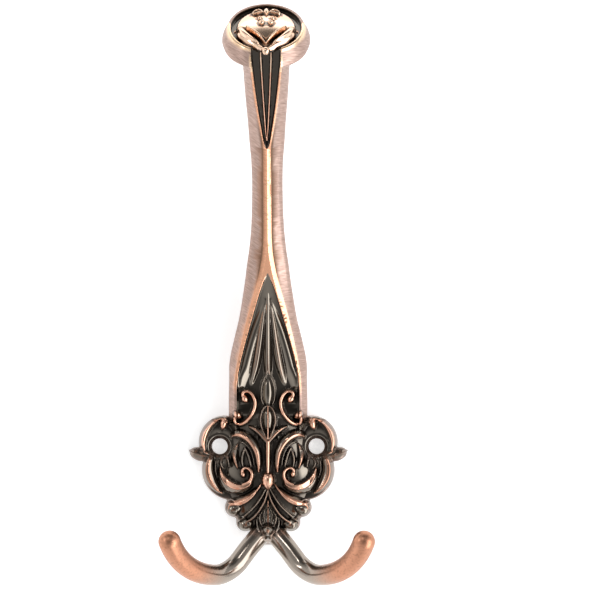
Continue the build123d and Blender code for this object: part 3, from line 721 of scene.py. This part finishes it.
KNOB_DEPTH = ARM_FRONT + ARM_RADIUS * (1 - math.cos(ARM_LEAN)) - KNOB_DROP * math.sqrt(0.5)
KNOB_Z = ARM_START + ARM_RADIUS * math.sin(ARM_LEAN) + KNOB_DROP * math.sqrt(0.5)


def knob_coordinates(depth, z):
    """(b, c): place on the knob's face away from the arm, and height above the face."""
    d, h = depth - KNOB_DEPTH, z - KNOB_Z
    slant = np.float32(math.sqrt(0.5))
    return (h - d) * slant, (h + d) * slant


def bead_distance(a, b, c):
    return np.sqrt(a * a + (b + BEAD_PLACE) ** 2 + (c + BEAD_SINK) ** 2)


def field(x, depth, z):
    """The casting: negative inside the metal, in millimetres."""
    ax = np.abs(x)
    s, n = arm_coordinates(depth, z)
    height, tilt, edge = front_at(s, ax, "top", "tilt", "edge")
    away = n - height
    # Deep under a steep place the slope no longer counts
    surface = np.minimum(away * tilt, away + 1.5)
    armness = single(ramp(s, 3, 16))
    result = smooth_max(surface, edge, 0.45 + 0.9 * armness)
    thick = single(np.interp(s, front.v, thickness_line))
    result = smooth_max(result, -n - thick, 0.5 + 3.2 * armness)
    result = smooth_max(result, -depth, 0.3)
    near = s < 0
    if near.any():
        hole_away = np.hypot(ax - HOLE_X, z)
        hole = HOLE_RADIUS - hole_away
        sink = (HOLE_RADIUS + np.maximum(depth - SINK_START, 0) - hole_away) * 0.75
        result = np.where(near, smooth_max(result, np.maximum(hole, sink), 0.15), result)
    low = z < -15
    if low.any():
        prong, _ = prong_field(ax[low], depth[low], z[low])
        result[low] = smooth_min(result[low], prong, 0.4)
    high = z > 95
    if high.any():
        a = ax[high]
        b, c = knob_coordinates(depth[high], z[high])
        r = np.sqrt(a * a + b * b)
        surface = c - face.sample(face_layers["top"], b, a)
        surface = surface * face.sample(face_layers["tilt"], b, a)
        outer = single(np.interp(c, *zip(*KNOB_SIDE)))
        outer = outer + 0.5 * ramp(-b, 3.0, 9.0) * ramp(-c, 0.0, 3.0)
        knob = smooth_max(surface, (r - outer) * 0.93, 0.35)
        knob = smooth_max(knob, -c - KNOB_THICKNESS, 1.2)
        sh, nh = s[high], n[high]
        (top_here,) = front_at(sh, a, "top")
        half_here = single(np.interp(sh, front.v, recess_half[:, 0]))
        cutter = np.maximum(np.maximum(a - half_here, top_here - nh), c + 1.2)
        arm = np.maximum(result[high], sh - ARM_STOP)
        joined = np.maximum(smooth_min(arm, knob, 0.15), -cutter)
        result[high] = smooth_min(joined, bead_distance(a, b, c) - BEAD_RADIUS, 0.2)
    return result


def build_mesh():
    """Polygons of the field: a coarse look for the blocks that the surface passes, then fine."""
    low = np.array([-31.2, -1.6, -41.6])
    high = np.array([31.2, 52.0, 126.4])
    side = 8
    size = VOXEL * side
    counts = np.ceil((high - low) / size).astype(int)
    centres = [low[k] + (np.arange(counts[k]) + 0.5) * size for k in range(3)]
    grids = np.meshgrid(*centres, indexing="ij")
    gx, gd, gz = [single(grid.ravel()) for grid in grids]
    at_once = 200000
    parts = [slice(i, i + at_once) for i in range(0, gx.size, at_once)]
    coarse = np.concatenate([field(gx[part], gd[part], gz[part]) for part in parts])
    # The surface can pass a block whose middle lies within half its diagonal, and the field
    # changes by up to 1.9 for each millimetre
    reach = size * 0.87 * 1.9 + 0.6
    close = np.nonzero(np.abs(coarse) < reach)[0]
    band = np.float32(2.5 * VOXEL)
    dense = single(np.where(coarse.reshape(counts) > 0, band, -band))
    dense = dense.repeat(side, 0).repeat(side, 1).repeat(side, 2)
    offset = np.arange(side) * VOXEL
    offsets = [grid.ravel() for grid in np.meshgrid(offset, offset, offset, indexing="ij")]
    blocks = np.stack(np.unravel_index(close, counts), axis=1)
    blocks_at_once = 600
    for i in range(0, len(blocks), blocks_at_once):
        part = blocks[i : i + blocks_at_once]
        base = low + part * size
        x, d, z = [single(base[:, k : k + 1] + offsets[k]).ravel() for k in range(3)]
        values = np.clip(field(x, d, z), -band, band).reshape(len(part), side, side, side)
        for block, value in zip(part, values):
            a, b, c = block * side
            dense[a : a + side, b : b + side, c : c + side] = value
    grid = openvdb.FloatGrid(float(band))
    grid.copyFromArray(dense, tolerance=1e-4)
    points, quads = grid.convertToQuads(0.0)
    return low + np.asarray(points, float) * VOXEL, np.asarray(quads, np.int64)


def columns(points):
    return [single(points[:, k]) for k in range(3)]


def gradient(points, step):
    x, d, z = columns(points)
    e = np.float32(step)
    along_x = field(x + e, d, z) - field(x - e, d, z)
    along_d = field(x, d + e, z) - field(x, d - e, z)
    along_z = field(x, d, z + e) - field(x, d, z - e)
    return np.stack([along_x, along_d, along_z], axis=1) / (2 * e)


def project(points, longest=0.12):
    """Moves points onto the surface, each by at most the longest move."""
    slope = gradient(points, 0.08)
    value = field(*columns(points))
    move = value[:, None] * slope / np.maximum((slope * slope).sum(1, keepdims=True), 0.3)
    length = np.linalg.norm(move, axis=1, keepdims=True)
    return points - move * np.minimum(1, longest / np.maximum(length, 1e-9))


def add_object(name, data):
    item = bpy.data.objects.new(name, data)
    bpy.context.scene.collection.objects.link(item)
    return item


def quad_mesh(points, quads, name):
    mesh = bpy.data.meshes.new(name)
    mesh.vertices.add(len(points))
    mesh.vertices.foreach_set("co", np.ascontiguousarray(points, np.float32).ravel())
    mesh.loops.add(quads.size)
    mesh.loops.foreach_set("vertex_index", np.ascontiguousarray(quads, np.int32).ravel())
    mesh.polygons.add(len(quads))
    mesh.polygons.foreach_set("loop_start", np.arange(0, quads.size, 4, dtype=np.int32))
    mesh.polygons.foreach_set("loop_total", np.full(len(quads), 4, np.int32))
    mesh.update(calc_edges=True)
    mesh.validate()
    return mesh


points, quads = build_mesh()
first = points[quads[:400]]
face_normals = np.cross(first[:, 1] - first[:, 0], first[:, 2] - first[:, 0])
outward = gradient(first.mean(1), 0.06)
# Depth runs towards -Y, so faces that wind the right way in (x, depth, z) are mirrored
if (face_normals * outward).sum() > 0:
    quads = quads[:, ::-1]
mirrored = project(points) * (1, -1, 1)
mesh = quad_mesh(mirrored, quads, "casting_fine")
casting = add_object("hook_casting_look", mesh)
triangles = 2 * len(quads)
if triangles > TRIANGLE_BUDGET:
    decimate = casting.modifiers.new("decimate", "DECIMATE")
    decimate.ratio = TRIANGLE_BUDGET / triangles
    decimate.use_collapse_triangulate = True
    evaluated = casting.evaluated_get(bpy.context.evaluated_depsgraph_get())
    thin = bpy.data.meshes.new_from_object(evaluated)
    casting.modifiers.remove(decimate)
    casting.data = thin
mesh = casting.data
mesh.name = "hook_casting_look"
flat = np.empty(len(mesh.vertices) * 3, np.float32)
mesh.vertices.foreach_get("co", flat)
place = flat.reshape(-1, 3).astype(float)
place[:, 1] *= -1
place = project(place)
normals = gradient(place, 0.1)
normals /= np.maximum(np.linalg.norm(normals, axis=1, keepdims=True), 1e-6)

# Finish at each point. The layer "finish_and_shade" holds in red how worn a crest is, in green
# the ornament, in blue the polish of the borders and prongs, and in alpha how open the place is:
# 0 in a hollow, where patina and painted shade darken it, and on the painted dark line in the
# step. The layer "gun" is 1 where the metal is greyer, on the plate and prong roots.
px, pd, pz = columns(place)
ps, pn = arm_coordinates(pd, pz)
pax = np.abs(px)
on_left = px < 0
top_here, past_here, relief_here = front_at(ps, pax, "top", "past", "relief")
ornate_here, crest_front = front_at(ps, pax, "ornate", "copper")
fronting = ramp(pn - top_here, -0.9, -0.3)
prong_away, prong_along = prong_field(pax, pd, pz)
on_prong = ramp(prong_away, 0.6, 0.1) * ramp(pz, -23.0, -26.0)
on_prong = np.maximum(on_prong, ramp(prong_away, 0.3, 0.05) * (pax > 12))

# The knob: its face inside the rim, the rim's edge and the bead
kb, kc = knob_coordinates(pd, pz)
kr = np.sqrt(pax ** 2 + kb ** 2)
rim_here = beside_arm(pax, kb)
on_face = ramp(pz, 106, 108) * ramp(kc, -1.6, -1.3)
on_face = on_face * np.maximum(ramp(kr, 9.75, 9.5), ramp(kr, 10.6, 10.4) * (1 - rim_here))
face_relief = face.sample(face_layers["relief"], kb, pax)
crest_face = ramp(face_relief, -0.16, -0.03) * ramp(kr, 9.5, 8.2)
lower_leaf = (kb < -6.0) & (face_relief > 0.05)
crest_face = np.where(lower_leaf, 1.0, crest_face)
on_bead = bead_distance(pax, kb, kc) < BEAD_RADIUS + 0.15
rim = ramp(kr, 9.3, 9.5) * ramp(kr, 10.9, 10.5) * ramp(kc, -1.4, -0.7) * rim_here * (pz > 104)

# The polish fades over this width past the arm's border, wider on the left: painted light that
# colours the left side differently to suit how the light falls there
fade = np.where(on_left, 0.6, 0.3) * ramp(ps, 84, 74) + 0.12
border = ramp(past_here / fade, 1.0, 0.0) * (1 - ornate_here) * ramp(ps, 4, 8) * (ps < 109)
border = np.maximum(border, rim)

# Hollows, darkened for patina together with painted shade, and the dark line in the step beside
# the border, which is painted shade, wider on the left to suit how the light falls there
hollow_front = ramp(relief_here, -0.9, 0.1)
shade_width = np.where(on_left, 0.34, 0.3)
shade_place = np.where(on_left, 0.2, 0.3)
step = np.exp(-(((past_here - shade_place) / shade_width) ** 2))
step = step * ramp(ps, 33, 42) * ramp(ps, 90, 78)
hollow_front = np.minimum(hollow_front, 1 - 0.97 * step)
cavity = np.where(on_face > 0.5, ramp(face_relief, -0.7, 0.05), hollow_front)
cavity = cavity * (1 - ramp(ps, 68, 74) * (ornate_here > 0.02) * (on_face < 0.5))
cavity = cavity * (1 - 0.8 * on_face * ramp(kr, 7.9, 8.3))
cavity = 1 - (1 - cavity) * np.maximum(fronting, on_face)

ornament = np.maximum(ornate_here * fronting * (1 - on_face), on_face)
crest = np.where(on_bead, 1.0, np.where(on_face > 0.5, crest_face, crest_front))
polish = np.maximum(border * fronting, on_prong)
masks = np.stack([crest, ornament * (1 - on_prong), polish, cavity], axis=1)
masks = single(np.clip(masks, 0, 1))
gun = ramp(pz, 9.5, 6.0) * (1 - on_prong)
prong_root = ramp(prong_along / prong_length[-1], 0.72, 0.38)
gun = np.maximum(gun, on_prong * prong_root)

place[:, 1] *= -1
normals[:, 1] *= -1
mesh.vertices.foreach_set("co", single(place * MILLIMETRE).ravel())
mesh.polygons.foreach_set("use_smooth", np.ones(len(mesh.polygons), bool))
mesh.update()
mesh.normals_split_custom_set_from_vertices([tuple(v) for v in normals])
layer = mesh.color_attributes.new("finish_and_shade", "FLOAT_COLOR", "POINT")
layer.data.foreach_set("color", masks.ravel())
gun_layer = mesh.attributes.new("gun", "FLOAT", "POINT")
gun_layer.data.foreach_set("value", single(gun))


class Graph:
    """Adds nodes to an emptied tree. An input is a number, a tuple or another node's output."""

    def __init__(self, owner):
        owner.use_nodes = True
        self.nodes, self.links = owner.node_tree.nodes, owner.node_tree.links
        self.nodes.clear()

    def add(self, kind, inputs=None, **settings):
        node = self.nodes.new("ShaderNode" + kind)
        for name, value in settings.items():
            setattr(node, name, value)
        for name, value in (inputs or {}).items():
            socket = node.inputs[name]
            if isinstance(value, bpy.types.NodeSocket):
                self.links.new(value, socket)
            elif socket.type == "RGBA":
                socket.default_value = (*value, 1)
            else:
                socket.default_value = value
        return node

    def math(self, operation, *values, clamp=False):
        inputs = dict(enumerate(values))
        return self.add("Math", inputs, operation=operation, use_clamp=clamp).outputs[0]

    def multiply(self, a, b):
        return self.math("MULTIPLY", a, b)

    def one_minus(self, value, clamp=False):
        return self.math("SUBTRACT", 1.0, value, clamp=clamp)

    def mix(self, share, a, b):
        return self.add("Mix", {0: share, 2: a, 3: b}).outputs[0]

    def mix_colour(self, share, a, b):
        return self.add("Mix", {0: share, 6: a, 7: b}, data_type="RGBA").outputs[2]

    def noise(self, where, scale, detail):
        inputs = {"Vector": where, "Scale": scale, "Detail": detail}
        return self.add("TexNoise", inputs).outputs["Fac"]

    def slide(self, value, low, high, size=1.0, kind="LINEAR"):
        """0 where value is at low, size where it is at high, and between them in between."""
        inputs = {0: value, 1: low, 2: high, 3: 0.0, 4: size}
        return self.add("MapRange", inputs, interpolation_type=kind).outputs[0]


# Colours of the metal and of its painted shade and highlight, as linear RGB
SATIN_DARK, SATIN_LIGHT = (0.33, 0.228, 0.19), (0.54, 0.385, 0.33)
POLISH, POLISH_PRONGS, KNOB_POLISH_HIGHLIGHT = (0.86, 0.45, 0.28), (0.60, 0.285, 0.175), (0.93, 0.66, 0.44)
SPECKLE = (0.30, 0.14, 0.08)
PATINA_AND_SHADE = (0.11, 0.06, 0.035)
SMOKE_HOLLOW_SHADED, SMOKE_OPEN = (0.045, 0.036, 0.027), (0.20, 0.172, 0.14)
RUST = (0.36, 0.17, 0.10)
CREST, KNOB_CREST_HIGHLIGHT = (0.82, 0.47, 0.33), (0.88, 0.62, 0.45)
GREY_ROOTS, GREY_PLATE = (0.33, 0.28, 0.235), (0.26, 0.205, 0.175)
# Heights between the parts that differ in colour, in metres: the prongs lie below the first,
# the plate above the second and the knob above the third
PRONG_TOP = -0.02
PLATE_FOOT = -0.0245
KNOB_FOOT = 0.104
# Brushing: the marks' slant in degrees left and right of the middle, and their size in metres
BRUSH_SLANTS = (-35, 4)
BRUSH_MARK = (1 / 400, 1 / 400, 1 / 4600)
BRUSH_DEPTH = 0.00004


def casting_material():
    """Satin metal with a polished border, and dark ornament with worn copper crests."""
    material = bpy.data.materials.new("antique_copper")
    graph = Graph(material)
    finish_and_shade = graph.add("Attribute", attribute_name="finish_and_shade")
    crest, ornate, polish = graph.add("SeparateColor", {0: finish_and_shade.outputs["Color"]}).outputs
    # Low openness marks hollows, dark with patina and painted shade, and the painted dark line in
    # the step
    openness = finish_and_shade.outputs["Alpha"]
    gun = graph.add("Attribute", attribute_name="gun").outputs["Fac"]
    where = graph.add("TexCoord").outputs["Object"]
    across, _, up = graph.add("SeparateXYZ", {0: where}).outputs
    on_right = graph.math("GREATER_THAN", across, 0.0)
    on_prongs = graph.math("LESS_THAN", up, PRONG_TOP)
    on_plate = graph.math("GREATER_THAN", up, PLATE_FOOT)
    on_knob = graph.math("GREATER_THAN", up, KNOB_FOOT)

    brushed = []
    for slant in BRUSH_SLANTS:
        turn = (0, math.radians(-slant), 0)
        inputs = {0: where, "Rotation": turn, "Scale": BRUSH_MARK}
        turned = graph.add("Mapping", inputs, vector_type="TEXTURE").outputs[0]
        brushed.append(graph.noise(turned, 1.0, 1.5))
    brush = graph.slide(graph.mix(on_right, *brushed), 0.3, 0.7)

    # Plain metal: satin, polished on the border, dark in hollows (patina with painted shade) and on
    # the step's line (painted shade)
    satin = graph.mix_colour(brush, SATIN_DARK, SATIN_LIGHT)
    copper = graph.mix_colour(on_prongs, POLISH, POLISH_PRONGS)
    # The knob's lighter copper is painted highlight, for the bright light from above
    copper = graph.mix_colour(on_knob, copper, KNOB_POLISH_HIGHLIGHT)
    speckle = graph.slide(graph.noise(where, 1500.0, 2.0), 0.5, 0.72, 0.6)
    copper = graph.mix_colour(graph.multiply(speckle, on_prongs), copper, SPECKLE)
    base = graph.mix_colour(polish, satin, copper)
    base = graph.mix_colour(graph.one_minus(openness, clamp=True), base, PATINA_AND_SHADE)

    # Ornament: smoke-dark, darker in hollows (patina with painted shade), then rust, then copper as
    # a crest is more worn
    wear = graph.math("MULTIPLY_ADD", graph.noise(where, 220.0, 3.0), 0.4, -0.2)
    worn = graph.math("ADD", crest, wear, clamp=True)
    worn = graph.math("MULTIPLY", worn, crest, clamp=True)
    smoke = graph.mix_colour(openness, SMOKE_HOLLOW_SHADED, SMOKE_OPEN)
    rusty = graph.mix_colour(graph.slide(worn, 0.0, 0.45), smoke, RUST)
    # Lighter crests on the knob: painted highlight for the bright light from above
    bright = graph.mix_colour(on_knob, CREST, KNOB_CREST_HIGHLIGHT)
    bright = graph.mix_colour(graph.slide(worn, 0.45, 0.95), rusty, bright)
    base = graph.mix_colour(ornate, base, bright)

    # Greyer metal on the plain parts of the plate and the roots of the prongs
    plain = graph.one_minus(ornate)
    grey = graph.multiply(plain, gun)
    base = graph.mix_colour(grey, base, graph.mix_colour(on_plate, GREY_ROOTS, GREY_PLATE))

    rough = graph.math("MULTIPLY_ADD", polish, -0.18, 0.40)
    rough = graph.math("MULTIPLY_ADD", on_prongs, 0.16, rough)
    worn_rough = graph.math("MULTIPLY_ADD", on_knob, -0.07, 0.13)
    worn_rough = graph.math("ADD", graph.multiply(worn, worn_rough), 0.11)
    rough = graph.mix(grey, graph.mix(ornate, rough, worn_rough), 0.16)
    lacquer = graph.multiply(graph.math("MAXIMUM", ornate, grey), 0.5)
    brush_strength = graph.multiply(plain, graph.one_minus(polish))
    bump = {"Height": brush, "Distance": BRUSH_DEPTH, "Strength": brush_strength}
    shader = graph.add("BsdfPrincipled", {
        "Base Color": base,
        "Metallic": 1.0,
        "Roughness": rough,
        "Coat Weight": lacquer,
        "Coat Roughness": 0.05,
        "Normal": graph.add("Bump", bump).outputs[0],
    })
    graph.add("OutputMaterial", {0: shader.outputs[0]})
    return material


casting.data.materials.clear()
casting.data.materials.append(casting_material())
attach(casting, "root")
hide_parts("hook_casting")

# Stage: a white wall that is seen through from behind
scene = bpy.context.scene
scene.view_settings.view_transform = "Standard"
reach, gap = 3, 0.0006
wall_mesh = bpy.data.meshes.new("wall")
corners = [(-reach, gap, -reach), (reach, gap, -reach), (reach, gap, reach), (-reach, gap, reach)]
wall_mesh.from_pydata(corners, [], [(0, 1, 2, 3)])
wall = add_object("wall", wall_mesh)
wall_material = bpy.data.materials.new("white_wall")
graph = Graph(wall_material)
paper = graph.add("BsdfDiffuse", {0: (0.9, 0.9, 0.9)})
glow = graph.add("Emission", {0: (1, 1, 1), 1: 0.5})
white = graph.add("AddShader", {0: paper.outputs[0], 1: glow.outputs[0]})
clear = graph.add("BsdfTransparent")
behind = graph.add("NewGeometry").outputs["Backfacing"]
seen = graph.add("MixShader", {0: behind, 1: white.outputs[0], 2: clear.outputs[0]})
graph.add("OutputMaterial", {0: seen.outputs[0]})
wall.data.materials.append(wall_material)

# Light from all round, in shares of full white: a level that grows to the sides and below, a
# dark patch straight in front, a darker ceiling and a tall bright screen at the right
world = bpy.data.worlds.new("studio")
scene.world = world
graph = Graph(world)
towards = graph.add("TexCoord").outputs["Generated"]
right, back, up = graph.add("SeparateXYZ", {0: towards}).outputs
left, front_way, down = [graph.multiply(value, -1.0) for value in (right, back, up)]


def band(value, low, high, size=1.0):
    return graph.slide(value, low, high, size, "SMOOTHSTEP")


def angle_band(angle, low, high, size=1.0):
    return band(angle, math.radians(low), math.radians(high), size)


def darken(level, share):
    return graph.multiply(level, graph.one_minus(share))


level = 0.5
for share in (band(down, 0.0, 0.6, 0.3), band(right, 0.4, 0.9, 0.15), band(left, 0.45, 0.85, 0.36)):
    level = graph.math("ADD", level, share)
level = darken(level, band(front_way, 0.86, 0.975, 0.7))

CEILING_WAY = (0.05, -0.40, 0.915)
ceiling = graph.add("VectorMath", {0: towards, 1: CEILING_WAY}, operation="DOT_PRODUCT")
level = darken(level, band(ceiling.outputs["Value"], 0.80, 0.97, 0.75))

# The screen's edges, in degrees to the right and up, each as where it starts and is full
SCREEN_LEFT, SCREEN_RIGHT = (34, 42), (71, 82)
SCREEN_FOOT, SCREEN_TOP = (-64, -54), (10, 22)
SCREEN_LIGHT = 3.1
turn = graph.math("ARCTAN2", right, front_way)
rise = graph.math("ARCSINE", up)
screen = graph.math("SUBTRACT", angle_band(turn, *SCREEN_LEFT), angle_band(turn, *SCREEN_RIGHT))
screen = graph.multiply(screen, angle_band(rise, *SCREEN_FOOT, SCREEN_LIGHT))
screen = darken(screen, angle_band(rise, *SCREEN_TOP))
sky = graph.add("Background", {0: (1, 1, 1), 1: graph.math("ADD", level, screen)})
graph.add("OutputWorld", {0: sky.outputs[0]})


def softbox(name, azimuth, elevation, distance, size, radiance):
    """A lit panel seen from the hook at azimuth, in degrees to the right of the camera."""
    a, e = math.radians(azimuth), math.radians(elevation)
    aim = Vector((0, -0.02, 0.04))
    away = Vector((math.sin(a) * math.cos(e), -math.cos(a) * math.cos(e), math.sin(e)))
    lamp = bpy.data.lights.new(name, "AREA")
    lamp.shape = "RECTANGLE"
    lamp.size, lamp.size_y = size
    lamp.energy = radiance * math.pi * size[0] * size[1]
    item = add_object(name, lamp)
    item.location = aim + away * distance
    item.rotation_euler = (-away).to_track_quat("-Z", "Y").to_euler()


softbox("left_softbox", -55, 15, 0.8, (0.07, 0.3), 8.0)
softbox("front_top_softbox", -12, 38, 0.8, (0.22, 0.06), 10.0)
softbox("overhead_softbox", 175, 86.5, 0.2, (0.10, 0.045), 1.3)

# Camera: 650 mm in front of the wall, square to it. The focal length is in pixels of the photo
CAMERA_PLACE = (0.0092, -0.650, 0.0423)
SENSOR_WIDTH = 36.0
FOCAL_PIXELS = 2241.4
PHOTO_WIDTH = 600.0
camera_data = bpy.data.cameras.new("camera")
camera = add_object("camera", camera_data)
camera.location = CAMERA_PLACE
camera.rotation_euler = (math.radians(90), 0, 0)
camera_data.sensor_width = SENSOR_WIDTH
camera_data.lens = SENSOR_WIDTH * FOCAL_PIXELS / PHOTO_WIDTH
camera_data.clip_start = 0.01
scene.camera = camera
